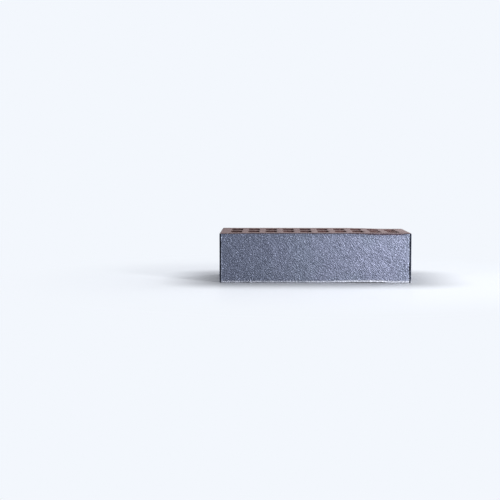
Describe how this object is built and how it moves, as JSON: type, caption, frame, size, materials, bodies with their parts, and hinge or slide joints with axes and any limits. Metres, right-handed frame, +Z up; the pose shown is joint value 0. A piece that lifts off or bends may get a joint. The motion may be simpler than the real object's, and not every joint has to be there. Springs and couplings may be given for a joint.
{
  "type": "facing brick",
  "caption": "Perforated facing brick with a blue-grey metallic coat on its show face and ends, laid on its bed in a wall's outer leaf.",
  "frame": {"origin": "centre of the lower bed, on the surface that the brick rests on", "axes": "+X along the brick, +Y from the coated show face at the front to the bare back, +Z up from bed to bed"},
  "size_m": [0.25, 0.12, 0.065],
  "materials": {
    "fired_clay": "matt wire-cut fired clay on the beds, in the slots and at the back; the show face and both ends carry a satin blue-grey metallic coat"
  },
  "bodies": {
    "root": {"facing_brick": "fired_clay"}
  },
  "joints": []
}
